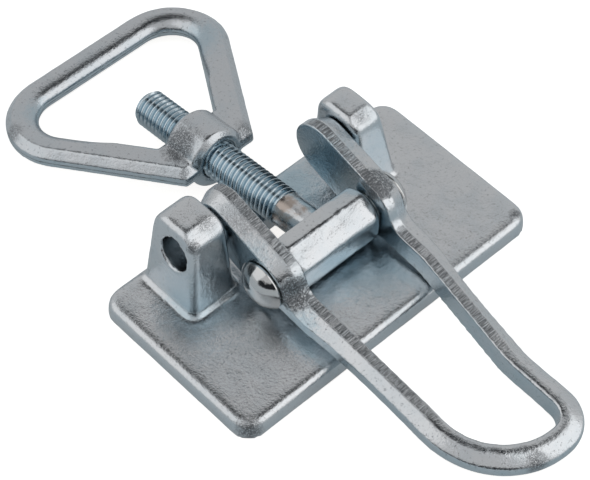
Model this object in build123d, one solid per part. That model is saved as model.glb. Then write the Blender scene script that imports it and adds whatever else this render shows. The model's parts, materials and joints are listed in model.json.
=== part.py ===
"""Weld-on over-centre latch: a forged base with two ears, a bail lever, a T-headed screw and a draw link.

Millimetres. The origin is the middle of the base's flat underside, which is welded down. +Z is up, X runs
along the pivot, the bail lies towards -Y and the draw link towards +Y. The latch is drawn closed.
"""
from build123d import *
from math import asin, atan2, cos, degrees, hypot, radians, sin, tan
import os

# Base plate
plate_length = 115.0
plate_depth = 64.0
plate_thickness = 6.4
plate_corner_radius = 6.5
plate_edge_round = 2.6

# Window through the plate under the screw head
window_width = 20.0
window_depth = 18.0
window_corner_radius = 4.0
window_setback = 11.7

# Ears that carry the lever
left_ear_thickness = 14.4
right_ear_thickness = 12.0
ear_front = 8.4
ear_back = 10.8
ear_height = 28.0
ear_crown_round = 6.0
ear_front_draft = 7.5
ear_back_draft = 3.0
ear_side_draft = 8.5
ear_edge_round = 2.4
ear_root_round = 2.6
pivot_rise = 17.9
pivot_setback = 13.9
pivot_hole_diameter = 10.8

# Lever forging: cheeks, stub trunnions and bail
cheek_gap = 32.4
cheek_thickness = 8.0
cheek_pivot_radius = 9.5
cheek_nose_radius = 10.2
cheek_nose_rise = 1.0
cheek_plate_gap = 1.0
left_ear_gap = 1.2
right_ear_gap = 0.4
trim_land = 3.4
draft_inset = 2.2
trunnion_length = 8.5
running_clearance = 0.05
arm_height = 8.2
arm_droop = 5.9
arm_plate_gap = 0.5
arm_root_round = 6.0
arm_root_run = 7.2
arm_bend_radius = 40.0
arm_thickness = 6.7
arm_waist_share = 0.2
bail_reach = 110.0
bail_thickness = 7.7
bail_tip_inset = 5.0
bail_tip_flat = 1.0
bail_tight_radius = 9.0
bail_waist_inset = 5.8
bail_waist_back = 26.0

# Rivet through both cheeks and the screw head
rivet_setback = 20.6
rivet_diameter = 10.0
rivet_head_diameter = 16.0
rivet_head_height = 4.8
rivet_head_rim = 0.8
rivet_end_gap = 0.15

# T-headed screw
head_top = 7.85
head_back = 5.0
head_crease = 0.2
head_nose = 7.4
head_nose_top = 3.2
head_nose_foot = 4.8
head_nose_round = 2.2
head_side_gap = 0.4
head_turning = 18.6
head_end_round = 3.6
screw_diameter = 12.0
screw_length = 80.0
screw_plate_gap = 0.6
screw_end_chamfer = 1.0
neck_diameter = 11.4
neck_length = 11.0

# Draw link
link_front = 46.0
link_front_width = 26.8
link_side_angle = 32.0
link_far_edge = 113.8
link_corner_radius = 20.0
link_bar_width = 10.2
link_thickness = 8.0
link_outer_bevel = 2.6
link_inner_round = 2.6
hub_diameter = 20.0
hub_length = 15.6
hub_chamfer = 1.8
hub_mouth = 0.9

# Places that follow from the sizes
pivot_y = plate_depth / 2 - pivot_setback
pivot_z = plate_thickness + pivot_rise
nose_z = plate_thickness + cheek_plate_gap + cheek_nose_radius
rivet_y = pivot_y - rivet_setback
rivet_z = nose_z - cheek_nose_rise
cheek_inner = cheek_gap / 2
cheek_outer = cheek_inner + cheek_thickness
rivet_bore = rivet_diameter + 2 * running_clearance

# The screw hangs down until it lies just over the back edge of the plate, and the link hangs with it
edge_run = plate_depth / 2 - plate_edge_round - rivet_y
edge_fall = rivet_z - plate_thickness
edge_angle = atan2(edge_fall, edge_run)
screw_angle = asin((screw_diameter / 2 + screw_plate_gap) / hypot(edge_run, edge_fall))
screw_droop = degrees(edge_angle - screw_angle)
screw_frame = Pos(0, rivet_y, rivet_z) * Rot(X=-screw_droop)


def bar_along_x(y, z, diameter, start, end):
    """A round bar along X, at a place in the YZ plane."""
    return extrude(Plane.YZ.offset(start) * Pos(y, z) * Circle(diameter / 2), end - start)


def ear(inner, thickness):
    """One ear, drafted on three sides for the forging die, with a round-edged crown and a filleted root."""
    front_lean = tan(radians(ear_front_draft))
    back_lean = tan(radians(ear_back_draft))
    top_z = plate_thickness + ear_height
    front = pivot_y - ear_front - pivot_z * front_lean
    back = pivot_y + ear_back + pivot_z * back_lean
    crown = [(back - top_z * back_lean, top_z), (front + top_z * front_lean, top_z)]
    outline = Polygon((front, 0), (back, 0), *crown, align=None)
    outline = fillet(outline.vertices().group_by(Axis.Y)[-1], ear_crown_round)
    post = extrude(Plane.YZ.offset(inner) * outline, 2 * thickness)
    side = Plane(origin=(inner + thickness, 0, pivot_z), z_dir=(1, 0, tan(radians(ear_side_draft))))
    post = split(post, side, keep=Keep.BOTTOM)
    for end in (0, -1):
        rim = post.faces().sort_by(Axis.X)[end].edges()
        post = fillet(rim.filter_by_position(Axis.Z, plate_thickness, top_z), ear_edge_round)
    slab = extrude(Pos(inner, pivot_y) * Rectangle(plate_length, plate_length), plate_thickness)
    rooted = slab + post
    _, slab_top, _ = rooted.faces().filter_by(Axis.Z).sort_by(Axis.Z)
    rooted = fillet(slab_top.inner_wires()[0].edges(), ear_root_round) - slab
    flat = Pos(0, -plate_edge_round) * Rectangle(plate_length, plate_depth)
    return post + (rooted & extrude(flat, plate_length))


def base_plate():
    """The forged base: a round-edged plate with two ears along its back edge and a window between them."""
    plate = extrude(RectangleRounded(plate_length, plate_depth, plate_corner_radius), plate_thickness)
    plate = fillet(plate.faces().sort_by(Axis.Z)[-1].edges(), plate_edge_round)
    window_y = plate_depth / 2 - window_setback - window_depth / 2
    window = Pos(0, window_y) * RectangleRounded(window_width, window_depth, window_corner_radius)
    plate -= extrude(window, plate_thickness)
    right_ear = ear(cheek_outer + right_ear_gap, right_ear_thickness)
    left_ear = ear(cheek_outer + left_ear_gap, left_ear_thickness)
    base = plate + right_ear + mirror(left_ear, Plane.YZ)
    return base - bar_along_x(pivot_y, pivot_z, pivot_hole_diameter, -plate_length, plate_length)


def cheek(axis_y, axis_z, root_y):
    """One broad cheek of the lever with its trunnion and its arm's root, flat inside and drafted outside."""
    pivot_round = Pos(pivot_y, pivot_z) * Circle(cheek_pivot_radius)
    nose_round = Pos(rivet_y, nose_z) * Circle(cheek_nose_radius)
    arm_axis = Pos(axis_y, axis_z) * Rot(Z=arm_droop)
    arm = arm_axis * Pos((rivet_y + root_y) / 2 - axis_y, 0) * Rectangle(rivet_y - root_y, arm_height)
    outline = make_hull((pivot_round + nose_round).edges()) + arm
    necks = outline.vertices().filter_by_position(Axis.X, root_y + arm_root_round / 2, rivet_y - 1)
    outline = fillet(necks, arm_root_round)
    plate = extrude(Plane.YZ.offset(cheek_inner) * outline, cheek_thickness)
    outside = plate.faces().sort_by(Axis.X)[-1]
    rim = outside.edges() - outside.edges().sort_by(Axis.Y)[:1]
    plate = chamfer(rim, draft_inset, cheek_thickness - trim_land, reference=outside)
    trunnion_diameter = pivot_hole_diameter - 2 * running_clearance
    trunnion_end = cheek_outer + trunnion_length
    return plate + bar_along_x(pivot_y, pivot_z, trunnion_diameter, cheek_outer - trim_land, trunnion_end)


def lever():
    """The lever: a bar forged with broad ends, trimmed, and bent to a U with its flat side inside."""
    axis_y = plate_edge_round - plate_depth / 2
    axis_z = plate_thickness + arm_plate_gap + arm_height / 2 / cos(radians(arm_droop))
    root_y = rivet_y - cheek_nose_radius - arm_root_run
    stretch = 1 / cos(radians(arm_droop))
    start = root_y - axis_y
    bend = (root_y - arm_root_round - axis_y) * stretch
    tip = (pivot_y - bail_reach - axis_y) * stretch
    arm_x = cheek_inner + cheek_thickness / 2
    tip_width = 2 * arm_x - bail_tip_inset
    corners = [
        (-arm_x, start),
        (-arm_x, tip),
        (arm_x - bail_tip_inset, tip),
        (arm_x - bail_waist_inset, tip + bail_waist_back),
        (arm_x, bend),
        (arm_x, start),
    ]
    wide_radius = tip_width - bail_tip_flat - bail_tight_radius
    radii = [wide_radius, bail_tight_radius, arm_bend_radius, arm_bend_radius]
    up = Vector(0, -sin(radians(arm_droop)), cos(radians(arm_droop)))
    bail_plane = Plane(origin=(0, axis_y, axis_z), x_dir=(1, 0, 0), z_dir=up)
    route = bail_plane * FilletPolyline(*corners, radius=radii)
    inside = cheek_thickness / 2
    land = inside - trim_land
    high = arm_height / 2
    low = high - draft_inset
    first_half = [(0, cheek_thickness), (arm_waist_share, arm_thickness), (0.5, bail_thickness)]
    second_half = [(1 - place, thickness) for place, thickness in first_half[1::-1]]
    sections = []
    for place, thickness in first_half + second_half:
        outside = inside - thickness
        upper = [(outside, low), (land, high), (inside, high)]
        lower = [(inside, -high), (land, -high), (outside, -low)]
        across = Plane(origin=route @ place, x_dir=up.cross(route % place), z_dir=route % place)
        sections.append(across * Polygon(*upper, *lower, align=None))
    bail = sweep(sections, route, multisection=True)
    right_cheek = cheek(axis_y, axis_z, root_y)
    forging = right_cheek + mirror(right_cheek, Plane.YZ) + bail
    return forging - bar_along_x(rivet_y, rivet_z, rivet_bore, -cheek_outer, cheek_outer)


def barrel_rivet():
    """The rivet on which the screw head swings, with a domed head outside each cheek."""
    seat = cheek_outer + rivet_end_gap
    radius = rivet_head_diameter / 2
    crown = (seat + rivet_head_height, 0)
    rim = (seat + rivet_head_rim, radius)
    foot = Polyline(crown, (0, 0), (0, rivet_diameter / 2), (seat, rivet_diameter / 2), (seat, radius), rim)
    half = revolve(make_face(foot + TangentArc(crown, rim, tangent=(0, 1))), Axis.X)
    return Pos(0, rivet_y, rivet_z) * (half + mirror(half, Plane.YZ))


def t_bolt():
    """The T-headed screw: a cross head with turned ends, bored for the rivet, a neck and a threaded shank."""
    head_half = cheek_inner - head_side_gap
    foot = head_nose - head_top + head_nose_foot
    upper = [(head_back, head_top), (-head_crease, head_top), (-head_nose, head_nose_top)]
    lower = [(-head_nose, -head_nose_foot), (-foot, -head_top), (head_back, -head_top)]
    section = Polygon(*upper, *lower, align=None)
    section = fillet(section.vertices().group_by(Axis.X)[0], head_nose_round)
    head = extrude(Plane.YZ.offset(-head_half) * section, 2 * head_half)
    turning = bar_along_x(0, 0, head_turning, -head_half, head_half)
    head &= fillet(turning.faces().filter_by(Axis.X).edges(), head_end_round)
    neck_end = head_back + neck_length
    neck = extrude(Plane.XZ * Circle(neck_diameter / 2), -neck_end)
    shank = extrude(Plane.XZ.offset(-neck_end) * Circle(screw_diameter / 2), neck_end - screw_length)
    shank = chamfer(shank.faces().filter_by(Axis.Y).edges(), screw_end_chamfer)
    return screw_frame * (head + neck + shank - bar_along_x(0, 0, rivet_bore, -head_half, head_half))


def tension_link():
    """The draw link: a forged triangular ring, bevelled outside and rounded inside, with a threaded hub."""
    front = link_front_width / 2
    far = front + (link_far_edge - link_front) * tan(radians(link_side_angle))
    near_corners = [(-front, link_front), (front, link_front)]
    far_corners = [(far, link_far_edge), (-far, link_far_edge)]
    outer = Polygon(*near_corners, *far_corners, align=None)
    outer = fillet(outer.vertices().group_by(Axis.Y)[-1], link_corner_radius)
    hub_back = link_front + hub_length
    behind_hub = Pos(0, hub_back + link_far_edge / 2) * Rectangle(2 * far, link_far_edge)
    eye = offset(outer, -link_bar_width) & behind_hub
    ring = extrude(outer - eye, link_thickness / 2, both=True)
    flats = ring.faces().filter_by(Axis.Z)
    rims = ShapeList([edge for flat in flats for edge in flat.outer_wire().edges()])
    rims = rims.filter_by_position(Axis.Y, link_front, link_far_edge, inclusive=(False, True))
    ring = chamfer(rims, link_outer_bevel)
    flats = ring.faces().filter_by(Axis.Z)
    rims = ShapeList([edge for flat in flats for edge in flat.inner_wires()[0].edges()])
    ring = fillet(rims, link_inner_round)
    hub = extrude(Plane.XZ.offset(-link_front) * Circle(hub_diameter / 2), -hub_length)
    hub = chamfer(hub.faces().filter_by(Axis.Y).edges(), hub_chamfer)
    bore_radius = screw_diameter / 2 + running_clearance
    bore = extrude(Plane.XZ.offset(-link_front) * Circle(bore_radius), -hub_length)
    mouth = Rot(X=-90) * Cone(bore_radius + hub_mouth, bore_radius, hub_mouth)
    return screw_frame * (ring + hub - bore - Pos(0, link_front + hub_mouth / 2) * mouth)


os.makedirs("parts", exist_ok=True)
for make in (base_plate, lever, barrel_rivet, t_bolt, tension_link):
    export_step(make(), f"parts/{make.__name__}.step")
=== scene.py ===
"""Looks of the forged weld-on latch: bright zinc over drop-forged steel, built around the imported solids."""
import bpy
import json
import math
from mathutils import Matrix, Vector
from mathutils.kdtree import KDTree


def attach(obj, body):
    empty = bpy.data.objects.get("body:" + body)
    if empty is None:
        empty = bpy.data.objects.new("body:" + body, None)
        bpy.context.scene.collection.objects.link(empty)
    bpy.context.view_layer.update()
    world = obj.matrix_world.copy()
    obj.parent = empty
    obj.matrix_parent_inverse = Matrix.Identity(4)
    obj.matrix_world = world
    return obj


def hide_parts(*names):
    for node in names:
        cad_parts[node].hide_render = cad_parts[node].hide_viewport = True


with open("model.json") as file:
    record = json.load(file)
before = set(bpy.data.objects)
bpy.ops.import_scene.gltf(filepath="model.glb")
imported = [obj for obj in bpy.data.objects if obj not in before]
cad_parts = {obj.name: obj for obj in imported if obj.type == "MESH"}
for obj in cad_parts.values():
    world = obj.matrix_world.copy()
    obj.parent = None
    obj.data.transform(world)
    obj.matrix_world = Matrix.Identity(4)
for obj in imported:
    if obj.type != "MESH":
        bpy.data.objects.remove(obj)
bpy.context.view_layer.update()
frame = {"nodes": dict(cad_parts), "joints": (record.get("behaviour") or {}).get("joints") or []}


# Base: a steel plate drop-forged in one with two ears for the lever, zinc plated and welded down by its edge.
# Its skin is finely wrinkled and pitted, its rim well rounded, and the crowns of its ears slope to the front.
# The solid is copied, skinned anew so that its edges turn softly, and made as uneven as a die leaves it.
MM = 0.001
MERGE_REACH = 0.002 * MM
EASE_STEP = 0.5
DIE_DETAIL = 2


def forged_copy(node, name, skin, turns, waves, depth):
    """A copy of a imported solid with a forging's soft edges and shallow waves, no larger than the solid."""
    bpy.ops.object.select_all(action="DESELECT")
    piece = bpy.data.objects.new(name, frame["nodes"][node].data.copy())
    bpy.context.scene.collection.objects.link(piece)
    bpy.context.view_layer.objects.active = piece
    piece.select_set(True)
    bpy.ops.object.mode_set(mode="EDIT")
    bpy.ops.mesh.select_all(action="SELECT")
    bpy.ops.mesh.remove_doubles(threshold=MERGE_REACH)
    bpy.ops.object.mode_set(mode="OBJECT")
    remesh = piece.modifiers.new("skin", "REMESH")
    remesh.mode = "VOXEL"
    remesh.voxel_size = skin
    remesh.use_smooth_shade = True
    ease = piece.modifiers.new("ease", "SMOOTH")
    ease.factor = EASE_STEP
    ease.iterations = turns
    die = bpy.data.textures.new(name + "_die", "CLOUDS")
    die.noise_scale = waves
    die.noise_depth = DIE_DETAIL
    sink = piece.modifiers.new("die_marks", "DISPLACE")
    sink.texture = die
    sink.texture_coords = "LOCAL"
    sink.mid_level = 1.0
    sink.strength = depth
    for step in ("skin", "ease", "die_marks"):
        bpy.ops.object.modifier_apply(modifier=step)
    return piece


def eased(piece, name, share, turns):
    """Smooths a piece in so many turns, as far as the share that is worked out from each place."""
    group = piece.vertex_groups.new(name=name)
    for vertex in piece.data.vertices:
        group.add([vertex.index], min(1.0, max(0.0, share(vertex.co))), "REPLACE")
    ease = piece.modifiers.new(name, "SMOOTH")
    ease.vertex_group = name
    ease.factor = EASE_STEP
    ease.iterations = turns
    bpy.ops.object.modifier_apply(modifier=name)


# A ragged rim ends where its distance in radii, plus the noise, comes to this.
RAGGED_END = 1.6


class Nodes:
    """The node tree of a material or of the room, with short calls for the nodes that a finish is made of.

    A material goes by the place and the facing on its piece, and the room by the direction of a look.
    """

    def __init__(self, owner):
        owner.use_nodes = True
        self.owner = owner
        self.tree = owner.node_tree
        source = self.add("ShaderNodeTexCoord")
        self.place = source.outputs["Object"]
        self.facing = source.outputs["Normal"]
        self.direction = source.outputs["Generated"]

    def add(self, kind, **settings):
        """A new node of a kind, with its settings."""
        node = self.tree.nodes.new(kind)
        for key, value in settings.items():
            setattr(node, key, value)
        return node

    def feed(self, socket, value):
        """Links an output to a socket, or sets the socket to a plain value."""
        if isinstance(value, bpy.types.NodeSocket):
            self.tree.links.new(value, socket)
        else:
            socket.default_value = value

    def noise(self, scale, detail=3.0, roughness=0.6, stretch=(1, 1, 1)):
        """A noise pattern with so many features a metre, drawn out along the axes."""
        move = self.add("ShaderNodeMapping", vector_type="TEXTURE")
        self.feed(move.inputs["Vector"], self.place)
        move.inputs["Scale"].default_value = stretch
        node = self.add("ShaderNodeTexNoise")
        self.feed(node.inputs["Vector"], move.outputs["Vector"])
        node.inputs["Scale"].default_value = scale
        node.inputs["Detail"].default_value = detail
        node.inputs["Roughness"].default_value = roughness
        return node.outputs["Fac"]

    def spread(self, value, low, high, to_low=0.0, to_high=1.0):
        """Maps a value smoothly from one range to another and keeps it inside."""
        node = self.add("ShaderNodeMapRange", interpolation_type="SMOOTHSTEP")
        ends = {"Value": value, "From Min": low, "From Max": high, "To Min": to_low, "To Max": to_high}
        for name, end in ends.items():
            self.feed(node.inputs[name], end)
        return node.outputs["Result"]

    def math(self, operation, *values):
        """One step of arithmetic, chained over all the values."""
        total = values[0]
        for value in values[1:]:
            node = self.add("ShaderNodeMath", operation=operation)
            self.feed(node.inputs[0], total)
            self.feed(node.inputs[1], value)
            total = node.outputs["Value"]
        return total

    def times(self, first, second):
        """Two numbers multiplied."""
        return self.math("MULTIPLY", first, second)

    def unsigned(self, value):
        """A number without its sign."""
        node = self.add("ShaderNodeMath", operation="ABSOLUTE")
        self.feed(node.inputs[0], value)
        return node.outputs["Value"]

    def vector(self, operation, first, second):
        """One step of arithmetic with vectors that gives a number."""
        node = self.add("ShaderNodeVectorMath", operation=operation)
        self.feed(node.inputs[0], first)
        self.feed(node.inputs[1], second)
        return node.outputs["Value"]

    def axes(self, vector):
        """The three parts of a vector."""
        node = self.add("ShaderNodeSeparateXYZ")
        self.feed(node.inputs["Vector"], vector)
        return node.outputs["X"], node.outputs["Y"], node.outputs["Z"]

    def near(self, centre, radius, ragged, rim):
        """A share that is 1 round a point and falls to 0 at a ragged rim. The point and radius are in mm."""
        reach = radius * MM
        far = self.vector("DISTANCE", self.place, Vector(centre) * MM)
        far = self.math("ADD", far, self.times(ragged, reach))
        return self.spread(far, (RAGGED_END - rim) * reach, RAGGED_END * reach, 1.0, 0.0)

    def tint(self, share, first, second):
        """A colour that goes from the first to the second with a share."""
        node = self.add("ShaderNodeMix", data_type="RGBA")
        self.feed(node.inputs["Factor"], share)
        for socket, value in ((node.inputs[6], first), (node.inputs[7], second)):
            self.feed(socket, (*value, 1.0) if isinstance(value, tuple) else value)
        return node.outputs[2]

    def bump(self, height, depth, under=None):
        """Raises the surface by a height pattern of a depth, on top of another relief."""
        node = self.add("ShaderNodeBump")
        node.inputs["Strength"].default_value = 1.0
        node.inputs["Distance"].default_value = depth
        self.feed(node.inputs["Height"], height)
        if under is not None:
            self.feed(node.inputs["Normal"], under)
        return node.outputs["Normal"]


ZINC = (0.66, 0.675, 0.69)
# The darker blue is the passivation's own colour, and also serves as painted shade on steep faces and in the
# shade blooms.
ZINC_BLUE_SHADE = (0.40, 0.53, 0.60)
# The dull dark zinc of pits, torn skin, blade marks, folds and seams, also used as painted shade on the
# trunnion ends and as a painted dark reflection on the lever's tip.
ZINC_DULL_AND_SHADE = (0.15, 0.16, 0.17)

# The patterns of the plating, in features a metre.
CLOUDS = 110
PEEL = 430
RAGGED = 700
PITS = 1100
GRAIN = 1500
TORN_GRAINS = 2300

# Where in its pattern, or in how far a face looks up, each mark begins and is full, and how strong it is.
STEEP_EDGE = (0.25, 0.75)
CLOUD_EDGE = (0.40, 0.64)
CLOUD_CAST = 0.14
PIT_EDGE = (0.58, 0.72)
PIT_DEPTH = 0.5
DULL_EDGE = (0.40, 1.0)
DULL_BY_GRAIN = 0.35
DULL_ADDS = 0.10
SHADE_BLOOM_RIM = 0.9
TORN_EDGE = (0.46, 0.66)
TORN_SHADE = (0.95, 0.1)
TORN_DEPTH = 0.30 * MM


def zinc_plate(name, zinc, blue, grain, peel, pits, gloss):
    """Bright zinc over steel: a blue cast in clouds and on steep faces, where it is darker, partly the
    passivation's own blue and partly painted shade; orange peel, grain and dull pits.

    More marks can be laid on its colour and relief until plated() joins them to the shader.
    """
    finish = Nodes(bpy.data.materials.new(name))
    finish.ragged = finish.noise(RAGGED, detail=4, roughness=0.65)
    clouds = finish.noise(CLOUDS, detail=4)
    fine = finish.noise(GRAIN)
    # Steep faces turn darker and bluer than the tops: partly the passivation's own blue, partly painted
    # shade.
    steep = finish.spread(finish.axes(finish.facing)[2], *STEEP_EDGE, 1.0, 0.0)
    cloudy = finish.times(finish.spread(clouds, *CLOUD_EDGE), CLOUD_CAST)
    cast = finish.math("ADD", cloudy, finish.times(steep, blue))
    pitted = finish.times(finish.spread(finish.noise(PITS), *PIT_EDGE), pits)
    finish.colour = finish.tint(cast, zinc, ZINC_BLUE_SHADE)
    finish.colour = finish.tint(pitted, finish.colour, ZINC_DULL_AND_SHADE)
    skin = finish.math("SUBTRACT", fine, finish.times(pitted, PIT_DEPTH))
    finish.normal = finish.bump(finish.noise(PEEL), peel)
    finish.normal = finish.bump(skin, grain, finish.normal)
    dulled = finish.math("ADD", clouds, finish.times(fine, DULL_BY_GRAIN))
    finish.rough = finish.spread(dulled, *DULL_EDGE, gloss, gloss + DULL_ADDS)
    return finish


def painted_shade_blooms(finish, places):
    """Painted shade: clouds of a stronger, darker blue cast where shade falls: the middle and radius of each,
    and its share.
    """
    for centre, radius, share in places:
        painted_shade = finish.times(finish.near(centre, radius, finish.ragged, SHADE_BLOOM_RIM), share)
        finish.colour = finish.tint(painted_shade, finish.colour, ZINC_BLUE_SHADE)


def torn_skin(finish, patches):
    """Dark, coarse patches, of torn skin and one painted dark reflection: middle, radius, soft rim and share
    of each.
    """
    grains = finish.noise(TORN_GRAINS, detail=2)
    torn = 0.0
    for centre, radius, rim, share in patches:
        patch = finish.times(finish.near(centre, radius, finish.ragged, rim), share)
        torn = finish.math("MAXIMUM", patch, torn)
    dark = finish.times(torn, finish.spread(grains, *TORN_EDGE, *TORN_SHADE))
    finish.colour = finish.tint(dark, finish.colour, ZINC_DULL_AND_SHADE)
    finish.normal = finish.bump(finish.times(torn, grains), TORN_DEPTH, finish.normal)


def plated(piece, finish):
    """Joins a finish to its shader and puts it on a piece."""
    shader = finish.tree.nodes["Principled BSDF"]
    shader.inputs["Metallic"].default_value = 1.0
    finish.feed(shader.inputs["Base Color"], finish.colour)
    finish.feed(shader.inputs["Roughness"], finish.rough)
    finish.feed(shader.inputs["Normal"], finish.normal)
    piece.data.materials.clear()
    piece.data.materials.append(finish.owner)


PLATE_HALF = Vector((57.5, 32.0)) * MM
RIM_REACH = 6.5 * MM
RIM_BLEND = 3.0 * MM
RIM_FOOT = 1.5 * MM
RIM_TOP = 6.6 * MM
CROWN_FROM = 27 * MM
CROWN_BLEND = 2 * MM
CROWN_TILT = math.radians(30)
CROWN_FRONT = Vector((0, 13.65, 32.99)) * MM
# Painted shade on the base: by the left ear, under the screw, on the right ear and between the ears.
BASE_SHADE_BLOOMS = (
    ((-40, 10, 12), 15, 0.55),
    ((6, -13, 6), 17, 0.55),
    ((36, 14, 22), 12, 0.45),
    ((12, 25, 6), 13, 0.85),
)
BASE_TORN = (
    ((-37.6, 11.3, 31.4), 2.6, 0.6, 0.8),
    ((-55.0, -30.6, 3.4), 5.0, 0.8, 1.0),
    ((53.4, -28.4, 6.2), 2.2, 0.8, 1.0),
    ((29.5, 13.5, 34.4), 4.0, 1.0, 0.6),
    ((-30.0, 14.5, 34.4), 4.0, 1.0, 0.5),
)


def near_rim(place):
    """How near a place on the base is to the upper rim of its plate."""
    inset = min(PLATE_HALF.x - abs(place.x), PLATE_HALF.y - abs(place.y))
    band = (RIM_REACH - inset) / RIM_BLEND
    return 0.0 if place.z > RIM_TOP else min(band, (place.z - RIM_FOOT) / RIM_FOOT)


base = forged_copy("base_plate", "base_forging", skin=0.6 * MM, turns=2, waves=5 * MM, depth=0.16 * MM)
slope = Vector((0, -math.sin(CROWN_TILT), math.cos(CROWN_TILT)))
for vertex in base.data.vertices:
    if vertex.co.z > CROWN_FROM:
        vertex.co -= slope * max(0.0, (vertex.co - CROWN_FRONT).dot(slope))
eased(base, "crowns", lambda place: (place.z - CROWN_FROM) / CROWN_BLEND, turns=8)
eased(base, "rim", near_rim, turns=45)
finish = zinc_plate("base_zinc", ZINC, blue=0.25, grain=0.09 * MM, peel=0.08 * MM, pits=0.32, gloss=0.14)
painted_shade_blooms(finish, BASE_SHADE_BLOOMS)
torn_skin(finish, BASE_TORN)
plated(base, finish)
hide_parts("base_plate")
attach(base, "base")


# Lever: a steel bar forged with broad ends and stub trunnions, sheared flat along what becomes its inside,
# bent to a U with one arm drawn in, and zinc plated. Its trunnions turn in the ears.
# The land beside the sheared face keeps the fine cross marks of the blade, and each nose a rough torn patch.
# The ends of its trunnions are darkened as painted shade inside the ear holes.
TIP_FROM = -62 * MM
TIP_BLEND = 14 * MM
LAND_END = -69 * MM
LAND_FULL = -54 * MM
LAND_SIDE = (0.26, 0.34)
LAND_RAGGED = 0.25
LAND_UP = (0.75, 0.88)
STROKES = 2700
STROKE_STRETCH = (12, 1, 12)
STROKE_EDGE = (0.38, 0.62)
STROKE_SHADE = (0.95, 0.25)
STROKE_DEPTH = 0.22 * MM
TRUNNION_END = 31 * MM
TRUNNION_HOLE_SHADE = 0.65
# Painted shade on the lever: inside the right cheek, outside the left cheek by the ear, and low on the left
# arm.
LEVER_SHADE_BLOOMS = (
    ((15, 14, 24), 13, 0.9),
    ((-24, 3, 22), 9, 0.8),
    ((-24, -18, 10), 8, 0.9),
)
LEVER_TORN_AND_REFLECTION = (
    ((-21.3, -12.3, 19.3), 5.0, 0.25, 1.0),
    ((19.4, -4.4, 27.8), 5.2, 0.3, 1.0),
    ((-22.0, 10.0, 33.0), 9.0, 1.0, 0.45),
    # Painted dark reflection on the lever's tip, drawn like a torn patch.
    ((-5.4, -92.8, 6.6), 4.6, 1.0, 1.0),
)
lever = forged_copy("lever", "lever_forging", skin=0.42 * MM, turns=1, waves=4 * MM, depth=0.10 * MM)
eased(lever, "tip", lambda place: (TIP_FROM - place.y) / TIP_BLEND, turns=45)
finish = zinc_plate("lever_zinc", ZINC, blue=0.55, grain=0.08 * MM, peel=0.09 * MM, pits=0.5, gloss=0.13)
painted_shade_blooms(finish, LEVER_SHADE_BLOOMS)
sideways, _, upwards = finish.axes(finish.facing)
out, along, _ = finish.axes(finish.place)
edge = finish.math("ADD", finish.unsigned(sideways), finish.times(finish.ragged, LAND_RAGGED))
level = finish.times(finish.spread(edge, *LAND_SIDE, 1.0, 0.0), finish.spread(upwards, *LAND_UP))
land = finish.times(level, finish.spread(along, LAND_END, LAND_FULL))
strokes = finish.noise(STROKES, detail=2, roughness=0.7, stretch=STROKE_STRETCH)
struck = finish.times(land, finish.spread(strokes, *STROKE_EDGE, *STROKE_SHADE))
# Painted shade: the trunnion ends, inside the ear holes, are darkened.
ends = finish.spread(finish.unsigned(out), TRUNNION_END, TRUNNION_END + MM, 0.0, TRUNNION_HOLE_SHADE)
finish.colour = finish.tint(finish.math("MAXIMUM", struck, ends), finish.colour, ZINC_DULL_AND_SHADE)
finish.normal = finish.bump(finish.times(land, strokes), STROKE_DEPTH, finish.normal)
torn_skin(finish, LEVER_TORN_AND_REFLECTION)
plated(lever, finish)
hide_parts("lever")
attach(lever, "lever")


# Rivet: a steel pin through both cheeks and the screw's head, headed over to a smooth dome on each side.
# Its profile is drawn point by point and spun about its axis. It is plated bright, the smoothest piece.
def outline(name, points):
    """A line of points in the XZ plane, ready to be spun about Z."""
    bpy.ops.object.select_all(action="DESELECT")
    bpy.ops.mesh.primitive_plane_add(size=MM)
    piece = bpy.context.object
    piece.name = name
    bpy.ops.object.mode_set(mode="EDIT")
    bpy.ops.mesh.select_all(action="SELECT")
    bpy.ops.mesh.merge(type="CENTER")
    bpy.ops.transform.translate(value=points[0])
    for start, end in zip(points, points[1:]):
        bpy.ops.mesh.extrude_vertices_move(TRANSFORM_OT_translate={"value": end - start})
    bpy.ops.object.mode_set(mode="OBJECT")
    return piece


def spin(piece, rise, turns, steps):
    """Spins an outline about Z, rising by so much a turn, to one skin, and leaves it in edit mode."""
    sweep = piece.modifiers.new("spin", "SCREW")
    sweep.axis = "Z"
    sweep.screw_offset = rise
    sweep.iterations = turns
    sweep.steps = sweep.render_steps = steps
    sweep.use_merge_vertices = True
    sweep.merge_threshold = MERGE_REACH / 2
    bpy.ops.object.modifier_apply(modifier="spin")
    bpy.ops.object.mode_set(mode="EDIT")
    bpy.ops.mesh.select_all(action="SELECT")
    bpy.ops.mesh.remove_doubles(threshold=MERGE_REACH)


RIVET_SEAT = 24.35 * MM
RIVET_RADIUS = 5.0 * MM
DOME_REACH = 29.15 * MM
DOME_RADIUS = 10.0 * MM
DOME_HALF = 8.0 * MM
DOME_STEPS = 24
RIVET_STEPS = 120
RIVET_ZINC = (0.64, 0.64, 0.635)
SHARP = math.radians(35)

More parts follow.
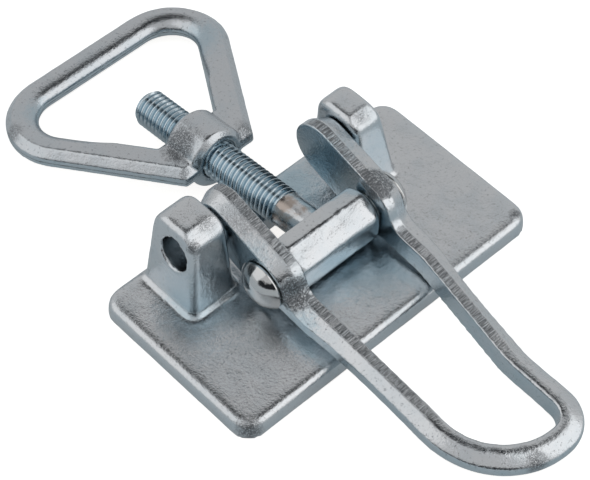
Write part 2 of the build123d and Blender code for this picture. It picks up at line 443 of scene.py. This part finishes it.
# How the edge of a head turns under: steps in from its side and up from its seat, in mm.
EDGE_TURN = ((0.0, 0.5), (0.2, 0.1), (0.5, 0.0))
joints = {joint["name"]: joint for joint in frame["joints"]}
rivet_centre = Vector(joints["screw_swing"]["pos_m"])
half = []
for step in range(DOME_STEPS + 1):
    swing = math.asin(DOME_HALF / DOME_RADIUS) * step / DOME_STEPS
    reach = DOME_REACH - DOME_RADIUS + DOME_RADIUS * math.cos(swing)
    half.append(Vector((DOME_RADIUS * math.sin(swing), 0, reach)))
half += [Vector((DOME_HALF - inset * MM, 0, RIVET_SEAT + rise * MM)) for inset, rise in EDGE_TURN]
half.append(Vector((RIVET_RADIUS, 0, RIVET_SEAT)))
rivet = outline("rivet_domed", half + [Vector((point.x, 0, -point.z)) for point in reversed(half)])
spin(rivet, rise=0, turns=1, steps=RIVET_STEPS)
bpy.ops.mesh.normals_make_consistent(inside=False)
bpy.ops.object.mode_set(mode="OBJECT")
rivet.data.transform(Matrix.Translation(rivet_centre) @ Matrix.Rotation(math.radians(90), 4, "Y"))
bpy.ops.object.shade_smooth_by_angle(angle=SHARP)
finish = zinc_plate("rivet_zinc", RIVET_ZINC, blue=0.1, grain=0.012 * MM, peel=0.05 * MM, pits=0.1,
                    gloss=0.05)
plated(rivet, finish)
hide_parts("barrel_rivet")
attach(rivet, "rivet")


# Screw: a steel bar with a forged cross head, a plain neck and a rolled 12 mm thread. It swings on the rivet.
# The head is the solid's own, eased to a pillow round its bore and cut off past the neck.
# The thread is one flank swept along its helix.
PITCH = 1.75 * MM
NECK_END = 16.0 * MM
SCREW_END = 80.0 * MM
BORE_KEPT = 5.6 * MM
BORE_BLEND = 1.5 * MM
NOSE_FROM = -2.0 * MM
NOSE_BLEND = 3.0 * MM
STAIN = (0.42, 0.36, 0.32)
STAIN_FROM = (9 * MM, 11 * MM)
STAIN_RAGGED = 4 * MM
STAIN_PATCHES = 190
STAIN_EDGE = (0.40, 0.58)
STAIN_SHADE = (0.95, 0.15)
FOLD_BACK = 0.7 * MM
FOLD_EDGE = (0.15 * MM, 0.55 * MM)
FOLD_BROKEN = (0.40, 0.62)
FOLD_SHADE = (0.9, 0.1)
DENTS = 190
DENT_DEPTH = 0.5 * MM
screw_axis = Vector(joints["link_turn"]["axis"]).normalized()


def off_bore(place):
    """How far a place on the screw's head is clear of its bore."""
    return ((place - rivet_centre).yz.length - BORE_KEPT) / BORE_BLEND


def on_nose(place):
    """How far a place on the screw's head is out on its nose, and clear of the bore."""
    return min(off_bore(place), (NOSE_FROM - (place - rivet_centre).dot(screw_axis)) / NOSE_BLEND)


def past_rivet(finish, axis):
    """How far each place of a finish lies from the rivet's middle along an axis."""
    return finish.math("SUBTRACT", finish.vector("DOT_PRODUCT", finish.place, axis), rivet_centre.dot(axis))


head = forged_copy("t_bolt", "screw_head", skin=0.32 * MM, turns=1, waves=4 * MM, depth=0.08 * MM)
eased(head, "outside", off_bore, turns=60)
eased(head, "nose", on_nose, turns=140)
bpy.ops.object.mode_set(mode="EDIT")
bpy.ops.mesh.select_all(action="SELECT")
cut = rivet_centre + screw_axis * (NECK_END + PITCH / 2)
bpy.ops.mesh.bisect(plane_co=cut, plane_no=screw_axis, clear_outer=True, use_fill=True)
bpy.ops.object.mode_set(mode="OBJECT")
finish = zinc_plate("screw_head_zinc", ZINC, blue=0.5, grain=0.05 * MM, peel=0.07 * MM, pits=0.3, gloss=0.13)
reach = past_rivet(finish, screw_axis)
stained = finish.math("ADD", reach, finish.times(finish.ragged, STAIN_RAGGED))
patchy = finish.spread(finish.noise(STAIN_PATCHES), *STAIN_EDGE, *STAIN_SHADE)
stained = finish.times(finish.spread(stained, *STAIN_FROM), patchy)
finish.colour = finish.tint(stained, finish.colour, STAIN)
fold = finish.unsigned(finish.math("ADD", reach, FOLD_BACK))
broken = finish.spread(finish.ragged, *FOLD_BROKEN, *FOLD_SHADE)
fold = finish.times(finish.spread(fold, *FOLD_EDGE, 1.0, 0.0), broken)
finish.colour = finish.tint(fold, finish.colour, ZINC_DULL_AND_SHADE)
dents = finish.noise(DENTS, detail=0.6, roughness=0.5)
finish.normal = finish.bump(dents, DENT_DEPTH, finish.normal)
plated(head, finish)
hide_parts("t_bolt")
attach(head, "screw")

CREST = 5.98 * MM
ROOT = 5.03 * MM
THREAD_STEPS = 40
TIP_CHAMFER = 1.0 * MM
THREAD_ROOT_SHADE = (0.34, 0.45, 0.52)
THREAD_ZINC = (0.70, 0.77, 0.81)
ROOT_EDGE = (ROOT + 0.1 * MM, CREST - 0.2 * MM)
ROOT_SHADE = 0.85

# The flats of the thread, as shares of the pitch.
CREST_FLAT = 1 / 8
ROOT_FLAT = 1 / 4
flank = (
    (ROOT, -ROOT_FLAT / 2),
    (ROOT, ROOT_FLAT / 2),
    (CREST, (1 - CREST_FLAT) / 2),
    (CREST, (1 + CREST_FLAT) / 2),
    (ROOT, 1 - ROOT_FLAT / 2),
)
thread = outline("screw_thread", [Vector((radius, 0, turn * PITCH)) for radius, turn in flank])
spin(thread, rise=PITCH, turns=math.ceil((SCREW_END - NECK_END) / PITCH) + 2, steps=THREAD_STEPS)
bpy.ops.mesh.bisect(plane_co=(0, 0, PITCH), plane_no=(0, 0, 1), clear_inner=True, use_fill=True)
bpy.ops.mesh.select_all(action="SELECT")
top = PITCH + SCREW_END - NECK_END
bpy.ops.mesh.bisect(plane_co=(0, 0, top), plane_no=(0, 0, 1), clear_outer=True, use_fill=True)
bpy.ops.mesh.select_all(action="SELECT")
bpy.ops.mesh.normals_make_consistent(inside=False)
bpy.ops.object.mode_set(mode="OBJECT")
for vertex in thread.data.vertices:
    end = min(vertex.co.z - PITCH, top - vertex.co.z)
    limit = CREST - max(TIP_CHAMFER - end, 0)
    radius = vertex.co.xy.length
    if radius > limit:
        vertex.co.xy *= limit / radius
turned = screw_axis.to_track_quat("Z", "Y").to_matrix().to_4x4()
thread.data.transform(Matrix.Translation(rivet_centre + screw_axis * (NECK_END - PITCH)) @ turned)
bpy.ops.object.shade_smooth_by_angle(angle=SHARP)
finish = zinc_plate("screw_thread_zinc", THREAD_ZINC, blue=0.35, grain=0.03 * MM, peel=0.03 * MM, pits=0.3,
                    gloss=0.10)

# The radius of each place on the thread, from the cross product of its arm with the axis.
arm = finish.add("ShaderNodeVectorMath", operation="SUBTRACT")
finish.feed(arm.inputs[0], finish.place)
finish.feed(arm.inputs[1], rivet_centre)
cross = finish.add("ShaderNodeVectorMath", operation="CROSS_PRODUCT")
finish.feed(cross.inputs[0], arm.outputs["Vector"])
finish.feed(cross.inputs[1], screw_axis)
radius = finish.vector("LENGTH", cross.outputs["Vector"], (0, 0, 0))
# Painted shade: the thread grows darker and bluer towards its roots, where the grooves lie in shade.
painted_root_shade = finish.spread(radius, *ROOT_EDGE, ROOT_SHADE, 0.0)
finish.colour = finish.tint(painted_root_shade, finish.colour, THREAD_ROOT_SHADE)
plated(thread, finish)
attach(thread, "screw")


# Link: a triangular ring forged in one with its hub, trimmed along the parting line, then drilled and tapped.
# It is run along the screw to set the pull, and its far bar goes over a hook across the closure.
# The inside of its bars is round, and a fine dark groove runs along it where the halves of the die met.
ZINC_GREY = (0.58, 0.60, 0.62)
EYE_MIDDLE = 88 * MM
HUB_END = 64 * MM
HUB_MARGIN = 0.1 * MM
HUB_BLEND = 22 * MM
INSIDE_ROUND = 6.4 * MM
BAR_HALF = 4.0 * MM
WALL_BAND = 0.6 * MM
WALL_FACING = 0.5
WALL_SAMPLE = 16
SEAM_WAVES = 60
SEAM_SWAY = 1.2 * MM
SEAM_EDGE = (0.08 * MM, 0.26 * MM)
SEAM_BROKEN = (0.35, 0.6)
SEAM_SHADE = (0.9, 0.3)
SEAM_DEPTH = 0.10 * MM
# Painted shade on the link, at its far corners.
LINK_SHADE_BLOOMS = (
    ((-25, 96, 9), 8, 0.8),
    ((29, 86, 11), 10, 0.6),
)
LINK_TORN = (
    ((-7.8, 52.6, 16.6), 6.2, 0.6, 1.0),
    ((-37.6, 96.4, 8.4), 4.2, 1.0, 0.8),
    ((12.4, 45.2, 13.6), 4.6, 1.0, 0.75),
    ((-12.2, 45.2, 14.2), 2.2, 0.9, 0.6),
)
link = forged_copy("tension_link", "link_forging", skin=0.45 * MM, turns=3, waves=4 * MM, depth=0.12 * MM)
across = Vector((1, 0, 0)).cross(screw_axis)
eye_middle = rivet_centre + screw_axis * EYE_MIDDLE

# The middle line of the wall round the eye, and which way the wall faces there.
walls = KDTree(len(link.data.vertices))
inward = []
for vertex in link.data.vertices:
    past_hub = (vertex.co - rivet_centre).dot(screw_axis) - HUB_END
    lift = (vertex.co - rivet_centre).dot(across)
    faces_eye = vertex.normal.dot((eye_middle - vertex.co).normalized()) > WALL_FACING
    if faces_eye and abs(lift) < WALL_BAND and past_hub > 0:
        walls.insert(vertex.co - across * lift, len(inward))
        inward.append(vertex.normal - across * vertex.normal.dot(across))
walls.balance()

# The inside of each bar is brought down to half an ellipse, which runs out towards the hub.
for vertex in link.data.vertices:
    past_hub = (vertex.co - rivet_centre).dot(screw_axis) - HUB_END
    if past_hub < HUB_MARGIN:
        continue
    blend = min(1.0, past_hub / HUB_BLEND)
    round_size = INSIDE_ROUND * blend * blend * (3 - 2 * blend)
    lift = (vertex.co - rivet_centre).dot(across)
    middle = vertex.co - across * lift
    nearest = walls.find_n(middle, WALL_SAMPLE)
    wall = sum((place for place, _, _ in nearest), Vector()) / len(nearest)
    outwards = -sum((inward[index] for _, index, _ in nearest), Vector()).normalized()
    inside = round_size - (middle - wall).dot(outwards)
    if inside > 0:
        over = math.hypot(inside / round_size, lift / BAR_HALF)
        if over > 1:
            vertex.co = middle + outwards * inside * (1 - 1 / over) + across * lift / over
link.data.update()
finish = zinc_plate("link_zinc", ZINC_GREY, blue=0.45, grain=0.07 * MM, peel=0.06 * MM, pits=0.4, gloss=0.13)
painted_shade_blooms(finish, LINK_SHADE_BLOOMS)
waves = finish.math("SUBTRACT", finish.noise(SEAM_WAVES, roughness=0.55), 0.5)
height = finish.math("ADD", past_rivet(finish, across), finish.times(waves, SEAM_SWAY))
seam = finish.spread(finish.unsigned(height), *SEAM_EDGE, 1.0, 0.0)
broken = finish.spread(finish.ragged, *SEAM_BROKEN, *SEAM_SHADE)
finish.colour = finish.tint(finish.times(seam, broken), finish.colour, ZINC_DULL_AND_SHADE)
finish.normal = finish.bump(finish.math("SUBTRACT", 1.0, seam), SEAM_DEPTH, finish.normal)
torn_skin(finish, LINK_TORN)
plated(link, finish)
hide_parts("tension_link")
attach(link, "link")


# Studio: a pale floor that runs out of sight, a soft wall of light to the front right and one to the left.
# The room is grey, with dark patches overhead, round the camera and low on the left for the zinc to mirror.
# The camera has a long lens and looks from the photograph's angle.
FLOOR = (0.55, 0.60, 0.63)
FLOOR_SIZE = 8.0
FLOOR_ROUGH = 0.9
GLOW = (1.0, 0.97, 0.94)
GLOW_SEEN = 0.86
GLOW_MIRRORED = 0.14
bpy.ops.object.select_all(action="DESELECT")
bpy.ops.mesh.primitive_plane_add(size=FLOOR_SIZE)
floor = bpy.context.object
floor.name = "floor"
paper = Nodes(bpy.data.materials.new("floor_paper"))
sheet = paper.tree.nodes["Principled BSDF"]
sheet.inputs["Base Color"].default_value = (*FLOOR, 1.0)
sheet.inputs["Roughness"].default_value = FLOOR_ROUGH
sheet.inputs["Specular IOR Level"].default_value = 0.0
path = paper.add("ShaderNodeLightPath").outputs
seen = paper.times(path["Is Camera Ray"], GLOW_SEEN)
mirrored = paper.math("MAXIMUM", path["Is Glossy Ray"], path["Is Transmission Ray"])
sheet.inputs["Emission Color"].default_value = (*GLOW, 1.0)
paper.feed(sheet.inputs["Emission Strength"], paper.math("ADD", seen, paper.times(mirrored, GLOW_MIRRORED)))
floor.data.materials.append(paper.owner)

ROOM = (0.58, 0.585, 0.59)
DARK = (0.02, 0.022, 0.025)

# The direction of each dark patch, and the cosines of the angles at which it begins and is full.
DARK_ZONES = (
    ((0.42, -0.06, 0.905), 0.966, 0.989),
    ((0.0, 0.42, 0.907), 0.958, 0.982),
    ((0.15, 0.12, 0.98), 0.962, 0.985),
    ((-0.561, -0.801, 0.208), 0.883, 0.961),
    ((-0.99, -0.02, 0.10), 0.968, 0.986),
    ((-0.93, -0.34, 0.12), 0.966, 0.986),
    ((-0.80, -0.58, 0.16), 0.966, 0.986),
)
room = Nodes(bpy.data.worlds.new("studio"))
bpy.context.scene.world = room.owner
shares = []
for centre, rim, core in DARK_ZONES:
    ahead = room.vector("DOT_PRODUCT", room.direction, Vector(centre).normalized())
    shares.append(room.spread(ahead, rim, core))
backdrop = room.tint(room.math("MAXIMUM", *shares), ROOM, DARK)
room.feed(room.tree.nodes["Background"].inputs["Color"], backdrop)


def soft_wall(name, direction, distance, width, height, glow):
    """A wall of light that faces the latch from a direction. Its glow adds to the grey behind it."""
    light = bpy.data.lights.new(name, "AREA")
    light.shape = "RECTANGLE"
    light.size = width
    light.size_y = height
    light.energy = glow * math.pi * width * height
    lamp = bpy.data.objects.new(name, light)
    way = Vector(direction).normalized()
    lamp.location = way * distance
    lamp.rotation_euler = way.to_track_quat("Z", "Y").to_euler()
    bpy.context.scene.collection.objects.link(lamp)


soft_wall("front_wall", (0.52, -0.62, 0.588), distance=0.9, width=0.85, height=1.05, glow=0.62)
soft_wall("left_wall", (-0.604, 0.507, 0.616), distance=0.9, width=1.0, height=1.1, glow=0.34)

EYE = Vector((-0.2718, -0.2829, 0.5209))
TARGET = Vector((0.00627, 0.01715, -0.00826))
SENSOR_WIDTH = 36.0
LENS = 134.83
NEAREST = 0.05
camera = bpy.data.objects.new("camera", bpy.data.cameras.new("camera"))
camera.data.sensor_width = SENSOR_WIDTH
camera.data.lens = LENS
camera.data.clip_start = NEAREST
camera.location = EYE
camera.rotation_euler = (EYE - TARGET).to_track_quat("Z", "Y").to_euler()
bpy.context.scene.collection.objects.link(camera)
bpy.context.scene.camera = camera
bpy.context.scene.view_settings.view_transform = "Standard"
